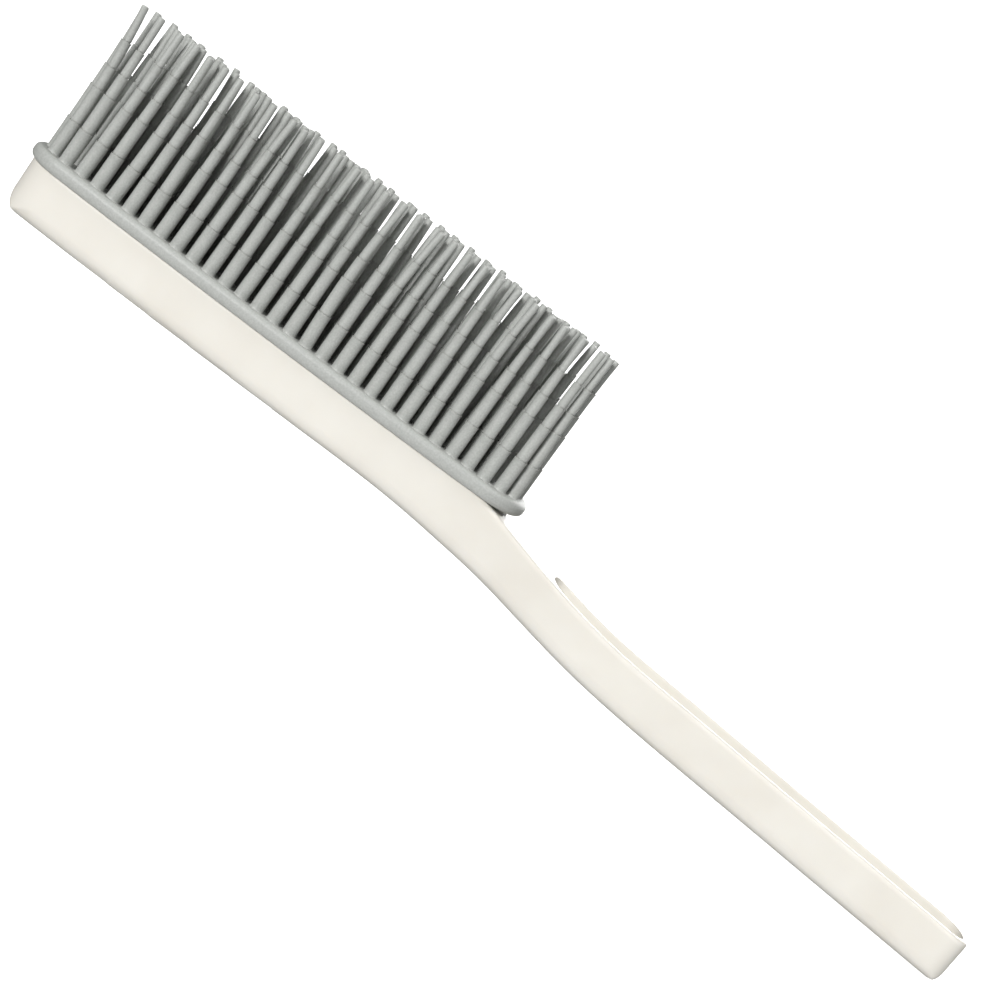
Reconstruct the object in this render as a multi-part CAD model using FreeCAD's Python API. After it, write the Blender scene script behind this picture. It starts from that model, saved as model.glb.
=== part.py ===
"""Bee brush: a one-piece moulded handle with a hollow head and a channel grip, and a
soft rubber pad that carries rows of stepped round fingers. Millimetres.

+X runs along the brush from the head's tip to the butt, +Z points out of the fingers.
The origin lies in the middle of the head, on the flat back that the brush rests on.
"""
import FreeCAD
import Part
import math
import os

Vector = FreeCAD.Vector

# Pad: a long oval of four tangent arcs
pad_length = 191.0
pad_width = 36.0
side_bow = 3.0
pad_end_radius = pad_width / 2 - side_bow
rim_thickness = 4.8
rim_bead = 1.9
skirt_depth = 6.0
skirt_wall = 2.5
skirt_clearance = 0.15

# Head of the handle
head_height = 17.5
rim_overhang = 1.7
head_wall = 2.4
floor_thickness = 2.4
head_tip_radius = 8.5
head_draft = 0.6
rib_count = 5
rib_thickness = 1.8
rib_pitch = 32.0
rib_gap = 1.0

# Neck and grip
grip_length = 195.5
grip_width = 19.0
neck_blend_radius = 200.0
butt_corner_radius = 0.45 * grip_width
butt_heel_radius = 7.5
butt_top_radius = 1.5
back_edge_radius = 5.0
grip_wall = 2.2
channel_floor = 2.4
channel_offset = 20.5

# Side view of the neck and grip. Each point is a share of the grip's length, counted
# from the pad's end to the butt, and a height.
# The back is counted from the flat that it leaves at its first point.
back_stations = [(-0.335, 0.0), (-0.182, -0.6), (-0.079, -2.4), (0.0, -4.3), (0.11, -8.4)]
back_stations += [(0.222, -12.0), (0.33, -14.0), (0.53, -16.2), (0.734, -18.3), (1.0, -21.0)]
# The front is counted from the top of the head, which it leaves at its first point.
front_stations = [(-0.059, 0.0), (0.008, -3.6), (0.11, -8.7), (0.207, -12.3), (0.279, -13.9)]
front_stations += [(0.407, -15.3), (0.581, -17.3), (0.79, -19.4), (1.0, -21.7)]

# Fingers: five steps, root first
step_heights = [11.6, 12.6, 7.6, 9.0, 12.2]
step_diameters = [4.5, 4.0, 3.5, 2.95, 2.4]
finger_pitch = 6.2
ring_inset = 5.0
inner_row_gap = 4.4
comb_width = 3.0
comb_depth = 1.0
tip_radius = 0.5

# Half size of the cutting tools, beyond every outline
reach = 3 * head_height + pad_width
# Slack for telling edges apart by where they lie
tolerance = 0.01
# Least run along one axis of an edge that follows it
mostly_along = 0.7

neck_root = pad_length / 2
butt_x = neck_root + grip_length
back_points = [(neck_root + share * grip_length, z) for share, z in back_stations]
front_points = [(neck_root + share * grip_length, head_height + z) for share, z in front_stations]
butt_back_z = back_points[-1][1]
butt_front_z = front_points[-1][1]


def oval_radii(inset):
    """Side radius, end radius and both centres of the pad's oval, moved in by inset."""
    end_centre = pad_length / 2 - pad_end_radius
    side = (end_centre ** 2 + (pad_width / 2) ** 2 - pad_end_radius ** 2) / (
        pad_width - 2 * pad_end_radius
    )
    side_centre = pad_width / 2 - side
    return side - inset, pad_end_radius - inset, end_centre, side_centre


def oval_joint(inset):
    """Where the side arc meets the end arc, in the quarter of +X and +Y."""
    side, end, end_centre, side_centre = oval_radii(inset)
    angle = math.atan2(-side_centre, end_centre)
    return end_centre + end * math.cos(angle), end * math.sin(angle)


def side_y(x, inset):
    """Half width of the oval at x, on its side arc."""
    side, _, _, side_centre = oval_radii(inset)
    return side_centre + math.sqrt(side ** 2 - x ** 2)


def arc(a, b, c):
    return Part.Arc(Vector(*a), Vector(*b), Vector(*c)).toShape()


def oval(inset, z, height):
    """A prism on the oval."""
    jx, jy = oval_joint(inset)
    _, end, end_centre, _ = oval_radii(inset)
    top = side_y(0, inset)
    tip = end_centre + end
    edges = [
        arc((-jx, jy, z), (0, top, z), (jx, jy, z)),
        arc((jx, jy, z), (tip, 0, z), (jx, -jy, z)),
        arc((jx, -jy, z), (0, -top, z), (-jx, -jy, z)),
        arc((-jx, -jy, z), (-tip, 0, z), (-jx, jy, z)),
    ]
    face = Part.Face(Part.Wire(edges))
    return face.extrude(Vector(0, 0, height))


def box(x0, x1, y0, y1, z0, z1):
    return Part.makeBox(x1 - x0, y1 - y0, z1 - z0, Vector(x0, y0, z0))


def flank(inset, start_x, end_x, s, z):
    """One long side of the handle seen from the fingers: the head's side arc flows
    through a tangent arc into the straight grip. s is 1 or -1 for the side."""
    side, _, _, side_centre = oval_radii(inset)
    half = grip_width / 2 - (inset - rim_overhang)
    blend = neck_blend_radius
    rise = half + blend - side_centre
    blend_x = math.sqrt((side + blend) ** 2 - rise ** 2)
    share = side / (side + blend)
    meet = (blend_x * share, s * (side_centre + rise * share), z)
    turn = -(math.pi / 2 + math.atan2(blend_x - meet[0], rise - rise * share) / 2)
    way = (blend_x + blend * math.cos(turn), s * (half + blend + blend * math.sin(turn)), z)
    middle_x = (start_x + meet[0]) / 2
    return [
        arc(
            (start_x, s * side_y(start_x, inset), z),
            (middle_x, s * side_y(middle_x, inset), z),
            meet,
        ),
        arc(meet, way, (blend_x, s * half, z)),
        line((blend_x, s * half, z), (end_x, s * half, z)),
    ]


def upright_prism(edges):
    face = Part.Face(Part.Wire(Part.__sortEdges__(edges)))
    return face.extrude(Vector(0, 0, 2 * reach))


def square_planform():
    """Plan of the handle with both ends cut square."""
    start = -pad_length / 2
    width = side_y(start, rim_overhang)
    half = grip_width / 2
    edges = flank(rim_overhang, start, butt_x, 1, -reach)
    edges += flank(rim_overhang, start, butt_x, -1, -reach)
    edges.append(line((start, width, -reach), (start, -width, -reach)))
    edges.append(line((butt_x, half, -reach), (butt_x, -half, -reach)))
    return upright_prism(edges)


def planform():
    """Plan of the handle with the head's round tip and the butt's rounded corners."""
    _, end, end_centre, _ = oval_radii(rim_overhang)
    jx, jy = oval_joint(rim_overhang)
    half = grip_width / 2
    corner = butt_corner_radius
    chord = corner * (1 - math.sqrt(0.5))
    z = -reach
    edges = [arc((-jx, jy, z), (-end_centre - end, 0, z), (-jx, -jy, z))]
    edges.append(line((butt_x, half - corner, z), (butt_x, corner - half, z)))
    for s in (1, -1):
        edges += flank(rim_overhang, -jx, butt_x - corner, s, z)
        edges.append(
            arc(
                (butt_x - corner, s * half, z),
                (butt_x - chord, s * (half - chord), z),
                (butt_x, s * (half - corner), z),
            )
        )
    return upright_prism(edges)


def line(a, b):
    return Part.LineSegment(Vector(*a), Vector(*b)).toShape()


def curve(points, start=None):
    """A smooth curve through points of the side view, in the plane y = 0."""
    spline = Part.BSplineCurve()
    through = [Vector(x, 0, z) for x, z in points]
    if start is None:
        spline.interpolate(through)
    else:
        tangents = [Vector(*start)] + [Vector(0, 0, 0)] * (len(points) - 1)
        flags = [True] + [False] * (len(points) - 1)
        spline.interpolate(Points=through, Tangents=tangents, TangentFlags=flags)
    return spline.toShape()


def corner_arc(x, z, radius, dx, dz):
    """A quarter round at the corner (x, z) whose sides run back by dx and dz."""
    mid = radius * (1 - math.sqrt(0.5))
    a = (x + dx * radius, 0, z)
    b = (x + dx * mid, 0, z + dz * mid)
    c = (x, 0, z + dz * radius)
    return arc(a, b, c)


def slab(edges, half_width):
    """A prism across the brush on a closed outline of the side view."""
    face = Part.Face(Part.Wire(Part.__sortEdges__(edges)))
    face.translate(Vector(0, -half_width, 0))
    return face.extrude(Vector(0, 2 * half_width, 0))


def square_side():
    """Side view of the handle with both ends cut square."""
    start = -pad_length / 2
    edges = [
        line((start, 0, head_height), (front_points[0][0], 0, head_height)),
        curve(front_points),
        line((butt_x, 0, butt_front_z), (butt_x, 0, butt_back_z)),
        curve(back_points, start=(1, 0, 0)),
        line((back_points[0][0], 0, 0), (start, 0, 0)),
        line((start, 0, 0), (start, 0, head_height)),
    ]
    return slab(edges, pad_width)


def tip_trim():
    """What the drafted tip with its rounded lower corner leaves out."""
    tip = rim_overhang - pad_length / 2
    foot = tip + head_draft
    out = tip - head_height
    corners = [
        (foot, 0, head_tip_radius),
        (tip, 0, head_height),
        (tip, 0, 2 * head_height),
        (out, 0, 2 * head_height),
        (out, 0, -head_height),
        (foot + head_tip_radius, 0, -head_height),
        (foot + head_tip_radius, 0, 0),
    ]
    edges = [line(p, q) for p, q in zip(corners, corners[1:])]
    edges.append(corner_arc(foot, 0, head_tip_radius, 1, 1))
    return slab(edges, pad_width)


def butt_trim(z, radius, dz):
    """What a rounded corner of the butt leaves out; dz points into the handle."""
    out_x = butt_x + radius
    out_z = z - dz * radius
    corners = [
        (butt_x, 0, z + dz * radius),
        (out_x, 0, z + dz * radius),
        (out_x, 0, out_z),
        (butt_x - radius, 0, out_z),
        (butt_x - radius, 0, z),
    ]
    edges = [line(p, q) for p, q in zip(corners, corners[1:])]
    edges.append(corner_arc(butt_x, z, radius, -1, dz))
    return slab(edges, pad_width)


def channel():
    """The open channel along the grip, on the side of the fingers. Its floor runs
    parallel to the back."""
    start = neck_root + channel_offset
    end = butt_x - grip_wall
    floor_points = [(x, z + channel_floor) for x, z in back_points]
    first_x, first_z = floor_points[0]
    last_z = floor_points[-1][1]
    edges = [
        curve(floor_points, start=(1, 0, 0)),
        line((butt_x, 0, last_z), (butt_x, 0, reach)),
        line((butt_x, 0, reach), (first_x, 0, reach)),
        line((first_x, 0, reach), (first_x, 0, first_z)),
    ]
    half = grip_width / 2 - grip_wall
    plan = box(start, end, -half, half, -reach, reach)
    uprights = []
    for edge in plan.Edges:
        if abs(edge.tangentAt(edge.FirstParameter).z) > mostly_along:
            uprights.append(edge)
    plan = plan.makeFillet(butt_corner_radius - grip_wall, uprights)
    return slab(edges, pad_width).common(plan)


def tray():
    """The hollow of the head, with the cross ribs left standing in it."""
    inset = rim_overhang + head_wall
    hollow = oval(inset, floor_thickness, head_height)
    # The ribs keep clear of the skirt: low under it, full height inside it
    low_top = head_height - skirt_depth - rib_gap
    low = box(-pad_length, pad_length, -pad_width, pad_width, 0, low_top)
    room = oval(inset + skirt_clearance + skirt_wall + rib_gap, 0, head_height).fuse(low)
    for i in range(rib_count):
        middle = (i - (rib_count - 1) / 2) * rib_pitch
        start = middle - rib_thickness / 2
        end = middle + rib_thickness / 2
        rib = box(start, end, -pad_width, pad_width, 0, head_height)
        hollow = hollow.cut(rib.common(room))
    return hollow


def handle():
    body = rounded_back(square_side().common(square_planform()))
    body = body.cut(tip_trim())
    body = body.cut(butt_trim(butt_back_z, butt_heel_radius, 1))
    body = body.common(planform())
    body = body.cut(tray()).cut(channel())
    toe = []
    for edge in body.Edges:
        if edge.BoundBox.XMin > butt_x - tolerance and on_front(edge.CenterOfMass):
            toe.append(edge)
    return body.makeFillet(butt_top_radius, toe).removeSplitter()


def on_front(point):
    return abs(point.z - butt_front_z) < tolerance


def rounded_back(body):
    """Rounds the long edges between the back and the sides."""
    long_edges = []
    for edge in body.Edges:
        middle = (edge.FirstParameter + edge.LastParameter) / 2
        if abs(edge.tangentAt(middle).x) > mostly_along and on_back(edge.valueAt(middle)):
            long_edges.append(edge)
    return body.makeFillet(back_edge_radius, long_edges)


def on_back(point):
    """True under the mid height of the handle at that x."""
    z = head_height
    for (x0, z0), (x1, z1) in zip(front_points, front_points[1:]):
        if x0 <= point.x <= x1:
            z = z0 + (z1 - z0) * (point.x - x0) / (x1 - x0)
    return point.z < z - head_height / 2


def pad():
    """Rim plate with a rounded edge and a skirt that locates it in the head."""
    plate = oval(0, head_height, rim_thickness)
    border = [e for e in plate.Edges if e.BoundBox.ZLength < tolerance]
    plate = plate.makeFillet(rim_bead, border)
    outer = rim_overhang + head_wall + skirt_clearance
    skirt = oval(outer, head_height - skirt_depth, skirt_depth)
    skirt = skirt.cut(oval(outer + skirt_wall, head_height - skirt_depth, skirt_depth))
    solid = plate.fuse(skirt)
    for places in rows().values():
        solid = solid.cut(comb(places))
    return solid.removeSplitter()


def ring_places(side):
    """Finger places along one half of the oval, evenly spaced along its outline. The
    two halves are a quarter pitch off the middle, each its own way, so that the fingers
    of one stand behind the gaps of the other and the ring closes evenly at both tips."""
    radius, end, end_centre, side_centre = oval_radii(ring_inset)
    sweep = math.atan2(end_centre, -side_centre)
    long_run = radius * sweep
    half_run = long_run + end * (math.pi / 2 - sweep)
    count = int(half_run / finger_pitch - 0.375)
    places = []
    for k in range(-count, count + 1):
        run = (k + side * 0.25) * finger_pitch
        s = abs(run)
        if s <= long_run:
            a = s / radius
            x, y = radius * math.sin(a), side_centre + radius * math.cos(a)
        else:
            a = sweep + (s - long_run) / end
            x, y = end_centre + end * math.sin(a), end * math.cos(a)
        places.append((math.copysign(x, run), side * y))
    return places


def inner_places(share, offset):
    """Finger places of an inner row, which keeps its share of the outer row's width,
    as far as the rows beside it and the ring's tip leave room."""
    _, end, end_centre, _ = oval_radii(ring_inset)
    last = end_centre + end - 1.5 * finger_pitch
    places = []
    count = int(last / finger_pitch)
    for k in range(-count - 1, count + 1):
        x = (k + offset) * finger_pitch
        room = side_y(min(abs(x), end_centre), ring_inset)
        if abs(x) <= last and room * max(abs(share), 1 - abs(share)) >= inner_row_gap:
            places.append((x, share * room))
    return places


def rows():
    """Each row's finger places: neighbouring rows stand half a pitch apart."""
    return {
        "outer_row_left": ring_places(1),
        "inner_row_left": inner_places(0.5, 0.5),
        "middle_row": inner_places(0.0, 0.0),
        "inner_row_right": inner_places(-0.5, 0.5),
        "outer_row_right": ring_places(-1),
    }


def comb(places):
    """The root strip that joins one row, flush with the pad's face."""
    top = head_height + rim_thickness
    strip = None
    for (x0, y0), (x1, y1) in zip(places, places[1:]):
        run = math.hypot(x1 - x0, y1 - y0)
        bar = Part.makeBox(run, comb_width, comb_depth, Vector(0, -comb_width / 2, 0))
        bar.rotate(Vector(0, 0, 0), Vector(0, 0, 1), math.degrees(math.atan2(y1 - y0, x1 - x0)))
        bar.translate(Vector(x0, y0, top - comb_depth))
        strip = bar if strip is None else strip.fuse(bar)
    for x, y in places:
        boss = Part.makeCylinder(comb_width / 2, comb_depth, Vector(x, y, top - comb_depth))
        strip = strip.fuse(boss)
    return strip.removeSplitter()


def finger(x, y):
    """One stepped round finger as a turned shape."""
    z = head_height + rim_thickness
    points = [Vector(0, 0, z)]
    for height, diameter in zip(step_heights, step_diameters):
        points.append(Vector(diameter / 2, 0, z))
        z += height
        points.append(Vector(diameter / 2, 0, z))
    last = points.pop()
    points.append(Vector(last.x, 0, last.z - tip_radius))
    points.append(Vector(last.x - tip_radius, 0, last.z))
    points.append(Vector(0, 0, last.z))
    points.append(points[0])
    turned = Part.Face(Part.makePolygon(points)).revolve(Vector(0, 0, 0), Vector(0, 0, 1), 360)
    turned.translate(Vector(x, y, 0))
    return turned


def row(places):
    solid = comb(places)
    return solid.multiFuse([finger(x, y) for x, y in places]).removeSplitter()


def write(name, shape):
    solids = shape.Solids
    if not shape.isValid() or not solids:
        raise ValueError("bad shape: " + name)
    print(name, len(solids), round(shape.Volume), shape.BoundBox)
    shape = solids[0] if len(solids) == 1 else shape
    shape.exportStep("parts/" + name + ".step")


os.makedirs("parts", exist_ok=True)
write("handle", handle())
write("rubber_pad", pad())
for name, places in rows().items():
    write(name, row(places))
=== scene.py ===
"""Looks of a bee brush: an ivory moulded handle and a grey rubber pad with five rows
of long stepped fingers, on a plain white studio floor. Metres."""
import math
import random

import bmesh
import bpy
from mathutils import Matrix, Vector


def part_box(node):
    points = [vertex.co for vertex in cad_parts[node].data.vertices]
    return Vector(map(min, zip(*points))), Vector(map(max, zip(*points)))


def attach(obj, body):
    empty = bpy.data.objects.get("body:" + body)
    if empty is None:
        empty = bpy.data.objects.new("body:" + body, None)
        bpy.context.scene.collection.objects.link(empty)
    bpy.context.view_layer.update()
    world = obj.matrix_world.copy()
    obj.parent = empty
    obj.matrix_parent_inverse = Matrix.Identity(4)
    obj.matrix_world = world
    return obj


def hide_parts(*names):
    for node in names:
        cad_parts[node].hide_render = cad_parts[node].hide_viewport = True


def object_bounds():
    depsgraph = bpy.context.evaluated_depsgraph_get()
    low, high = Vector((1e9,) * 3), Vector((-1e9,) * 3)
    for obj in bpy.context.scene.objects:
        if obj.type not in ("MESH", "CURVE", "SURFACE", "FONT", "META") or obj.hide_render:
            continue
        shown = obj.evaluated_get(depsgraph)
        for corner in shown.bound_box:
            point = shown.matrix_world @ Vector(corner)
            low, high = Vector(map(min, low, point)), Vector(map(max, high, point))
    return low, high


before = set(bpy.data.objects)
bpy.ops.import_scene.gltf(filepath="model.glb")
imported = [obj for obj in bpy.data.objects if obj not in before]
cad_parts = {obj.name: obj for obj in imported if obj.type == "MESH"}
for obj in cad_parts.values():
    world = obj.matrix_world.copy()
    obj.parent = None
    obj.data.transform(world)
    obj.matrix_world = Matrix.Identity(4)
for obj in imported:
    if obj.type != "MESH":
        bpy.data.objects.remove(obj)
cad_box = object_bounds()

MM = 0.001

# The pad's oval and its edge
PAD_END_RADIUS = 15.0 * MM
RIM_THICKNESS = 4.8 * MM
RIM_BEAD = 1.9 * MM
SKIRT_INSET = 4.25 * MM
SKIRT_WALL = 2.5 * MM

# Rows of fingers
FINGER_PITCH = 6.2 * MM
RING_INSET = 5.0 * MM
INNER_ROW_GAP = 4.4 * MM

# One finger: five turned steps, root first
STEP_HEIGHTS = [h * MM for h in (11.6, 12.6, 7.6, 9.0, 12.2)]
STEP_RADII = [r * MM for r in (2.25, 2.0, 1.75, 1.475, 1.2)]
STEP_DRAFT = 0.02 * MM
LEDGE = 0.45 * MM
LEDGE_FLARE = 0.07 * MM
GROOVE = 0.13 * MM
ROOT_FLARE = 0.45 * MM
FINGER_SIDES = 20
SHARP_ANGLE = 38.0

# How far fingers stray from straight: leans are slopes, the rest are spreads in metres
LEAN_SPREAD_X = 0.007
LEAN_SPREAD_Y = 0.010
LEAN_INWARD_X = 0.34
LEAN_INWARD_Y = 0.3
CURL_SPREAD = 0.6 * MM
CURL_OUTWARD_X = 0.014
WAVE_SPREAD = 0.25 * MM
TRIM_SPREAD = 0.18 * MM
ROOT_SUNK = 0.02 * MM

# The pad plate's section: its flat faces start inside the bead
FLAT_INSETS = (RIM_BEAD + 0.6 * MM, 6.0 * MM, 9.0 * MM)
BEAD_STEPS = 8
SKIRT_EASE = 0.5 * MM

# Stage
FLOOR_DROP = 1.0 * MM
FLOOR_REACH = 30.0
CAMERA_PLACE = (81.46, -494.19, 105.9)
CAMERA_AIM = (87.21, 0.0, 18.35)
CAMERA_ROLL = -37.159
CAMERA_LENS = 57.3
WHITE = (1, 1, 1, 1)

pad_low, pad_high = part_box("rubber_pad")
PAD_LENGTH = pad_high.x - pad_low.x
PAD_WIDTH = pad_high.y - pad_low.y
PAD_FACE = pad_high.z
PAD_SEAT = PAD_FACE - RIM_THICKNESS


# ---------------------------------------------------------------- materials


def linear(hex_colour, alpha=1.0):
    """An sRGB hex colour as the linear values that shaders use."""
    out = []
    for i in (0, 2, 4):
        c = int(hex_colour[i : i + 2], 16) / 255
        out.append(c / 12.92 if c <= 0.04045 else ((c + 0.055) / 1.055) ** 2.4)
    return (*out, alpha)


def add(tree, kind, settings=None, **links):
    """A node of that kind. settings are its attributes and plain socket values, and
    each link names an input socket and the output that feeds it."""
    node = tree.nodes.new("ShaderNode" + kind)
    for name, value in (settings or {}).items():
        if hasattr(node, name):
            setattr(node, name, value)
        else:
            node.inputs[name].default_value = value
    for name, output in links.items():
        tree.links.new(output, node.inputs[name.replace("_", " ")])
    return node


def new_material(name):
    material = bpy.data.materials.new(name)
    material.use_nodes = True
    material.node_tree.nodes.clear()
    return material, material.node_tree


def mottled(tree, where, grain, low, high):
    """A colour that wanders between two close tones over patches of size grain."""
    noise = add(tree, "TexNoise", {"Scale": 1 / grain, "Detail": 3.0}, Vector=where)
    ramp = add(tree, "ValToRGB", Fac=noise.outputs["Fac"])
    ramp.color_ramp.elements[0].position = 0.3
    ramp.color_ramp.elements[0].color = linear(low)
    ramp.color_ramp.elements[1].position = 0.7
    ramp.color_ramp.elements[1].color = linear(high)
    return ramp.outputs["Color"]


def moulded_polypropylene():
    """Ivory polypropylene from a fine-textured steel mould: a satin skin with a soft
    broad sheen, a faintly uneven surface where the thick parts shrank, and tones that
    drift a little between cream and white. Its outer corners are eased, as the mould's
    polished edges leave them. The skin's grain is drawn coarser than the real one, so
    that it shows."""
    material, tree = new_material("moulded_polypropylene")
    where = add(tree, "TexCoord").outputs["Object"]
    colour = mottled(tree, where, 22 * MM, "DCD8CF", "E1DED6")
    sink = add(tree, "TexNoise", {"Scale": 1 / (14 * MM), "Detail": 1.0}, Vector=where)
    skin = add(tree, "TexNoise", {"Scale": 1 / (0.5 * MM), "Detail": 2.0}, Vector=where)
    eased = add(tree, "Bevel", {"samples": 6, "Radius": 1.4 * MM})
    waves = add(
        tree,
        "Bump",
        {"Strength": 0.10, "Distance": 0.6 * MM},
        Height=sink.outputs["Fac"],
        Normal=eased.outputs["Normal"],
    )
    fine = add(
        tree,
        "Bump",
        {"Strength": 0.10, "Distance": 0.03 * MM},
        Height=skin.outputs["Fac"],
        Normal=waves.outputs["Normal"],
    )
    shader = add(
        tree,
        "BsdfPrincipled",
        {"Roughness": 0.38, "IOR": 1.49, "Subsurface Weight": 0.12},
        Base_Color=colour,
        Normal=fine.outputs["Normal"],
    )
    shader.inputs["Subsurface Radius"].default_value = (1.0, 0.9, 0.7)
    shader.inputs["Subsurface Scale"].default_value = 2.0 * MM
    add(tree, "OutputMaterial", Surface=shader.outputs["BSDF"])
    return material


def moulded_rubber():
    """Grey thermoplastic rubber: a dry matt skin with a soft highlight along each
    finger, specks of bloom, and drag lines from the mould along its length. The real
    specks and lines are finer, and are drawn as coarse as they need to be to show."""
    material, tree = new_material("moulded_rubber")
    where = add(tree, "TexCoord").outputs["Object"]
    colour = mottled(tree, where, 0.6 * MM, "A1A39F", "B0B2AE")
    stretch = add(tree, "Mapping", {"Scale": (1.0, 1.0, 0.12)}, Vector=where)
    drag = add(
        tree, "TexNoise", {"Scale": 1 / (0.45 * MM), "Detail": 2.0}, Vector=stretch.outputs[0]
    )
    speck = add(tree, "TexNoise", {"Scale": 1 / (0.35 * MM), "Detail": 3.0}, Vector=where)
    lines = add(
        tree, "Bump", {"Strength": 0.25, "Distance": 0.05 * MM}, Height=drag.outputs["Fac"]
    )
    grain = add(
        tree,
        "Bump",
        {"Strength": 0.25, "Distance": 0.04 * MM},
        Height=speck.outputs["Fac"],
        Normal=lines.outputs["Normal"],
    )
    shader = add(
        tree,
        "BsdfPrincipled",
        {"Roughness": 0.5, "IOR": 1.5},
        Base_Color=colour,
        Normal=grain.outputs["Normal"],
    )
    add(tree, "OutputMaterial", Surface=shader.outputs["BSDF"])
    return material


# ------------------------------------------------------------------- shapes


def finish_piece(name, bm, material, node):
    """Turns a bmesh into a smooth rubber piece that rides on the brush, in place of the
    CAD node."""
    bmesh.ops.recalc_face_normals(bm, faces=bm.faces)
    mesh = bpy.data.meshes.new(name)
    bm.to_mesh(mesh)
    bm.free()
    mesh.materials.append(material)
    for polygon in mesh.polygons:
        polygon.use_smooth = True
    mesh.set_sharp_from_angle(angle=math.radians(SHARP_ANGLE))
    piece = bpy.data.objects.new(name, mesh)
    bpy.context.scene.collection.objects.link(piece)
    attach(piece, "root")
    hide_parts(node)


def oval_radii(inset):
    """Side radius, end radius and both centres of the pad's oval, moved in by inset."""
    end_centre = PAD_LENGTH / 2 - PAD_END_RADIUS
    side = (end_centre**2 + (PAD_WIDTH / 2) ** 2 - PAD_END_RADIUS**2) / (
        PAD_WIDTH - 2 * PAD_END_RADIUS
    )
    return side - inset, PAD_END_RADIUS - inset, end_centre, PAD_WIDTH / 2 - side


def side_y(x, inset):
    """Half width of the oval at x, on its side arc."""
    side, _, _, side_centre = oval_radii(inset)
    return side_centre + math.sqrt(side**2 - x**2)


def half_outline(inset, side_steps=60, end_steps=12):
    """Points of the oval from one tip to the other, along +Y."""
    side, end, end_centre, side_centre = oval_radii(inset)
    sweep = math.atan2(end_centre, -side_centre)
    angles = [-math.pi / 2 + (math.pi / 2 - sweep) * i / end_steps for i in range(end_steps)]
    points = [(-end_centre + end * math.sin(a), end * math.cos(a)) for a in angles]
    for i in range(side_steps + 1):
        a = sweep * (2 * i / side_steps - 1)
        points.append((side * math.sin(a), side_centre + side * math.cos(a)))
    for x, y in reversed(points[:end_steps]):
        points.append((-x, y))
    return points


def full_outline(inset):
    """Points all the way round the oval."""
    half = half_outline(inset)
    return half + [(x, -y) for x, y in reversed(half[1:-1])]


def loft(bm, rings):
    """Quads between neighbouring closed rings of points. Returns the rings' vertices."""
    made = [[bm.verts.new(p) for p in ring] for ring in rings]
    for lower, upper in zip(made, made[1:]):
        count = len(lower)
        for i in range(count):
            j = (i + 1) % count
            bm.faces.new((lower[i], lower[j], upper[j], upper[i]))
    return made


def cap(bm, ring):
    """Closes a full outline with a strip of quads between its two sides."""
    count = len(ring)
    half = count // 2
    for i in range(half):
        a, b = ring[i], ring[i + 1]
        c, d = ring[(count - i - 1) % count], ring[(count - i) % count]
        corners = list(dict.fromkeys((a, b, c, d)))
        if len(corners) > 2:
            bm.faces.new(corners)


def rubber_pad(material):
    """The pad: a plate with a rounded bead for its edge, and the skirt under it."""
    bm = bmesh.new()
    profile = [(FLAT_INSETS[1], PAD_SEAT), (FLAT_INSETS[0], PAD_SEAT)]
    turns = [math.pi / 2 * i / BEAD_STEPS for i in range(BEAD_STEPS + 1)]
    for a in turns:
        inset, rise = RIM_BEAD * (1 - math.sin(a)), RIM_BEAD * (1 - math.cos(a))
        profile.append((inset, PAD_SEAT + rise))
    for a in turns:
        inset, drop = RIM_BEAD * (1 - math.cos(a)), RIM_BEAD * (1 - math.sin(a))
        profile.append((inset, PAD_FACE - drop))
    profile += [(inset, PAD_FACE) for inset in FLAT_INSETS]
    rings = [[(x, y, z) for x, y in full_outline(inset)] for inset, z in profile]
    made = loft(bm, rings)
    cap(bm, made[0])
    cap(bm, made[-1])
    low = pad_low.z
    skirt_inner = SKIRT_INSET + SKIRT_WALL
    skirt = [
        (SKIRT_INSET, PAD_SEAT),
        (SKIRT_INSET, low + SKIRT_EASE),
        (SKIRT_INSET + SKIRT_EASE, low),
        (skirt_inner - SKIRT_EASE, low),
        (skirt_inner, low + SKIRT_EASE),
        (skirt_inner, PAD_SEAT),
    ]
    rings = [[(x, y, z) for x, y in full_outline(inset)] for inset, z in skirt]
    loft(bm, rings + rings[:1])
    bmesh.ops.remove_doubles(bm, verts=bm.verts, dist=0.001 * MM)
    finish_piece("pad_plate", bm, material, "rubber_pad")


def finger_profile():
    """Height and radius along one finger, from its flared root to its worn tip. Each
    step ends in a crisp ledge, and the next one starts in a narrow groove above it."""
    stations = [(0.0, STEP_RADII[0] + ROOT_FLARE)]
    stations.append((0.3 * ROOT_FLARE, STEP_RADII[0] + 0.35 * ROOT_FLARE))
    stations.append((ROOT_FLARE, STEP_RADII[0] + 0.08 * ROOT_FLARE))
    height = 0.0
    last = len(STEP_HEIGHTS) - 1
    for i, (step, radius) in enumerate(zip(STEP_HEIGHTS, STEP_RADII)):
        start, top = height, height + step
        if i:
            stations.append((start, radius - GROOVE))
            stations.append((start + 2 * GROOVE, radius - GROOVE))
            start += 3 * GROOVE
        else:
            start += 2 * ROOT_FLARE
        stations.append((start, radius + STEP_DRAFT))
        rise = top - LEDGE - start
        for share in (0.3, 0.6, 1.0):
            draft = STEP_DRAFT * (1 - 2 * share)
            stations.append((start + rise * share, radius + draft))
        if i < last:
            stations.append((top - 0.5 * LEDGE, radius + LEDGE_FLARE))
            stations.append((top, radius + LEDGE_FLARE))
        else:
            for k in range(1, 4):
                a = math.pi / 2 * k / 3
                edge = (top - LEDGE * (1 - math.sin(a)), radius - LEDGE * (1 - math.cos(a)))
                stations.append(edge)
        height = top
    return stations


PROFILE = finger_profile()
FINGER_HEIGHT = sum(STEP_HEIGHTS)


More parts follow.
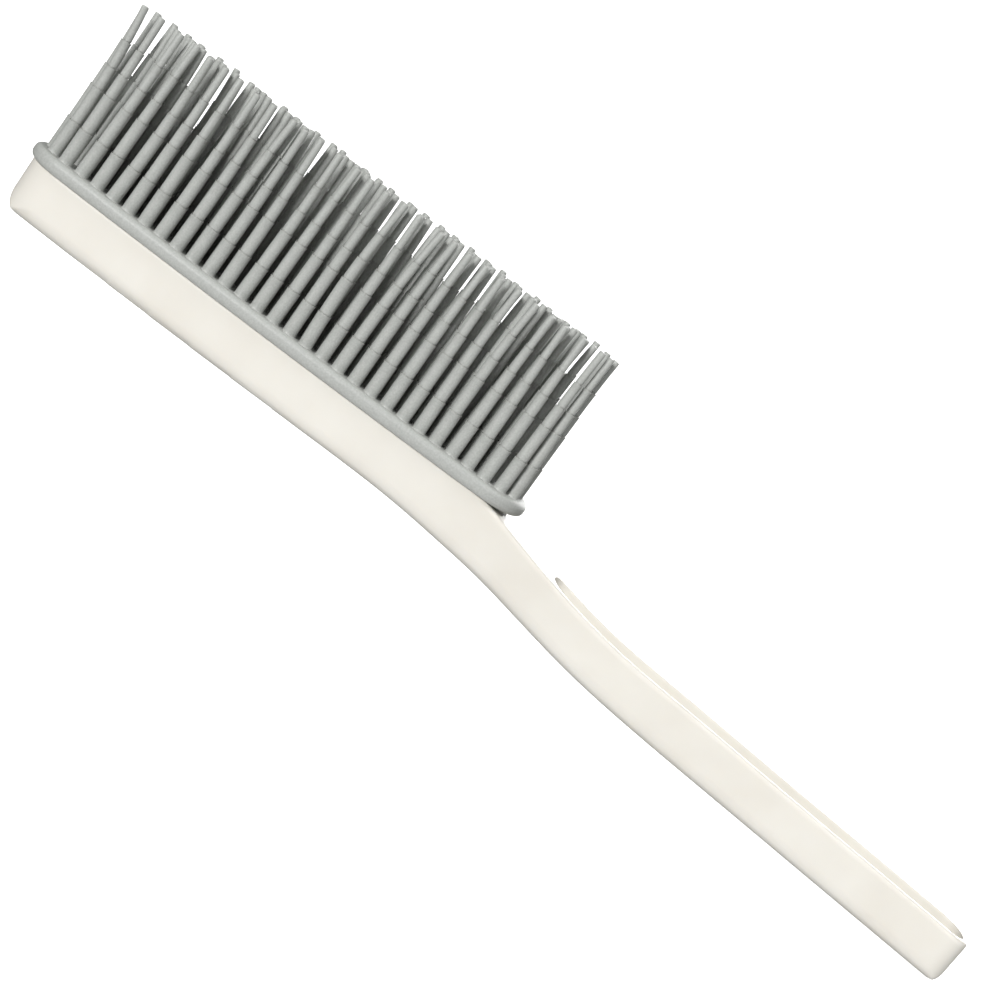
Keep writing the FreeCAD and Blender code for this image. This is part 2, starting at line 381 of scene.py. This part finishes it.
def add_finger(bm, x, y, dice):
    """One finger. Rubber sets with a little lean and curl of its own."""
    lean_x = dice.gauss(0, LEAN_SPREAD_X) - LEAN_INWARD_X * x
    lean_y = dice.gauss(0, LEAN_SPREAD_Y) - LEAN_INWARD_Y * y
    curl_x = dice.gauss(0, CURL_SPREAD) + CURL_OUTWARD_X * x
    curl_y = dice.gauss(0, CURL_SPREAD)
    wave = dice.gauss(0, WAVE_SPREAD)
    trim = dice.gauss(0, TRIM_SPREAD)
    start = dice.random() * math.tau

    def centre(h):
        t = h / FINGER_HEIGHT
        bow = wave * math.sin(math.pi * t)
        return Vector(
            (
                x + lean_x * h + curl_x * t**3 + bow,
                y + lean_y * h + curl_y * t**3 + 0.5 * bow,
                PAD_FACE - ROOT_SUNK + h * (1 + trim / FINGER_HEIGHT),
            )
        )

    rings = []
    for h, r in PROFILE:
        along = (centre(h + 0.2 * MM) - centre(h - 0.2 * MM)).normalized()
        side = Vector((0, 1, 0)).cross(along).normalized()
        other = along.cross(side)
        middle = centre(h)
        ring = []
        for k in range(FINGER_SIDES):
            a = start + math.tau * k / FINGER_SIDES
            ring.append(middle + r * (side * math.cos(a) + other * math.sin(a)))
        rings.append(ring)
    made = loft(bm, rings)
    bm.faces.new(made[0])
    bm.faces.new(made[-1])


def ring_places(side):
    """Finger places along one half of the oval, evenly spaced along its outline. The
    two halves are a quarter pitch off the middle, each its own way, so that the fingers
    of one stand behind the gaps of the other and the ring closes evenly at both tips."""
    radius, end, end_centre, side_centre = oval_radii(RING_INSET)
    sweep = math.atan2(end_centre, -side_centre)
    long_run = radius * sweep
    half_run = long_run + end * (math.pi / 2 - sweep)
    count = int(half_run / FINGER_PITCH - 0.375)
    places = []
    for k in range(-count, count + 1):
        run = (k + side * 0.25) * FINGER_PITCH
        s = abs(run)
        if s <= long_run:
            a = s / radius
            x, y = radius * math.sin(a), side_centre + radius * math.cos(a)
        else:
            a = sweep + (s - long_run) / end
            x, y = end_centre + end * math.sin(a), end * math.cos(a)
        places.append((math.copysign(x, run), side * y))
    return places


def inner_places(share, offset):
    """Finger places of an inner row, which keeps its share of the outer row's width,
    as far as the rows beside it and the ring's tip leave room."""
    _, end, end_centre, _ = oval_radii(RING_INSET)
    last = end_centre + end - 1.5 * FINGER_PITCH
    places = []
    count = int(last / FINGER_PITCH)
    for k in range(-count - 1, count + 1):
        x = (k + offset) * FINGER_PITCH
        room = side_y(min(abs(x), end_centre), RING_INSET)
        if abs(x) <= last and room * max(abs(share), 1 - abs(share)) >= INNER_ROW_GAP:
            places.append((x, share * room))
    return places


def finger_row(name, node, places, material, seed):
    """A row of fingers at those places, the same each time for the same seed."""
    bm = bmesh.new()
    dice = random.Random(seed)
    for x, y in places:
        add_finger(bm, x, y, dice)
    finish_piece(name, bm, material, node)


# -------------------------------------------------------------------- stage


def white_paper():
    """Plain white studio paper. It glows a little of its own, so that it keeps one tone
    out to the horizon and takes only a faint shadow."""
    material, tree = new_material("white_paper")
    shader = add(
        tree,
        "BsdfPrincipled",
        {
            "Base Color": linear("F4F4F2"),
            "Roughness": 0.9,
            "Emission Color": WHITE,
            "Emission Strength": 0.8,
        },
    )
    add(tree, "OutputMaterial", Surface=shader.outputs["BSDF"])
    return material


def lay_floor():
    """The floor lies under the brush's lowest point. It throws no light onto the brush
    and doesn't stop the light from below."""
    mesh = bpy.data.meshes.new("floor")
    level = cad_box[0].z - FLOOR_DROP
    reach = FLOOR_REACH
    corners = [(-reach, -reach), (reach, -reach), (reach, reach), (-reach, reach)]
    mesh.from_pydata([(x, y, level) for x, y in corners], [], [range(4)])
    mesh.materials.append(white_paper())
    floor = bpy.data.objects.new("floor", mesh)
    bpy.context.scene.collection.objects.link(floor)
    floor.visible_diffuse = False
    floor.visible_glossy = False
    floor.visible_transmission = False
    floor.visible_shadow = False


def camera():
    """Looks across the brush from its right side, a little from above, and rolled so
    that the brush hangs down to the right."""
    place = Vector(CAMERA_PLACE) * MM
    aim = Vector(CAMERA_AIM) * MM
    data = bpy.data.cameras.new("camera")
    data.sensor_width = 36.0
    data.lens = CAMERA_LENS
    data.clip_start = 0.01
    data.clip_end = 50.0
    obj = bpy.data.objects.new("camera", data)
    bpy.context.scene.collection.objects.link(obj)
    forward = (aim - place).normalized()
    level = forward.cross(Vector((0, 0, 1))).normalized()
    roll = Matrix.Rotation(math.radians(CAMERA_ROLL), 3, forward)
    right = roll @ level
    up = right.cross(forward)
    turn = Matrix((right, up, -forward)).transposed().to_4x4()
    obj.matrix_world = Matrix.Translation(place) @ turn
    bpy.context.scene.camera = obj


def soft_sun(name, towards, strength, spread):
    """An even light that comes from the direction towards. spread, in degrees, is how
    wide it looks, and so how soft its shadows are."""
    data = bpy.data.lights.new(name, "SUN")
    data.energy = strength
    data.angle = math.radians(spread)
    obj = bpy.data.objects.new(name, data)
    bpy.context.scene.collection.objects.link(obj)
    obj.rotation_euler = Vector(towards).to_track_quat("Z", "Y").to_euler()


def studio(fill):
    """White surroundings. They fill the shadows only by the share given, so that the
    spaces between the fingers stay dark."""
    sky = bpy.data.worlds.new("studio")
    sky.use_nodes = True
    tree = sky.node_tree
    tree.nodes.clear()
    seen = add(tree, "Background", {"Color": WHITE, "Strength": 1.05})
    lit = add(tree, "Background", {"Color": WHITE, "Strength": fill})
    which = add(tree, "LightPath").outputs["Is Camera Ray"]
    both = add(tree, "MixShader", Fac=which)
    tree.links.new(lit.outputs[0], both.inputs[1])
    tree.links.new(seen.outputs[0], both.inputs[2])
    add(tree, "OutputWorld", Surface=both.outputs[0])
    bpy.context.scene.world = sky


bpy.context.scene.view_settings.view_transform = "Standard"
camera()
lay_floor()
studio(0.12)
soft_sun("key", (-0.34, -0.86, 0.38), 3.05, 16)
soft_sun("top", (0.35, -0.25, 0.90), 1.25, 30)
soft_sun("bounce", (0.10, -0.45, -0.88), 1.3, 60)
soft_sun("back", (0.30, 0.92, 0.25), 2.2, 40)

polypropylene = moulded_polypropylene()
rubber = moulded_rubber()

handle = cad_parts["handle"]
for s in handle.material_slots:
    s.material = polypropylene

rubber_pad(rubber)
finger_row("fingers_outer_left", "outer_row_left", ring_places(1), rubber, 1)
finger_row("fingers_inner_left", "inner_row_left", inner_places(0.5, 0.5), rubber, 2)
finger_row("fingers_middle", "middle_row", inner_places(0.0, 0.0), rubber, 3)
finger_row("fingers_inner_right", "inner_row_right", inner_places(-0.5, 0.5), rubber, 4)
finger_row("fingers_outer_right", "outer_row_right", ring_places(-1), rubber, 5)
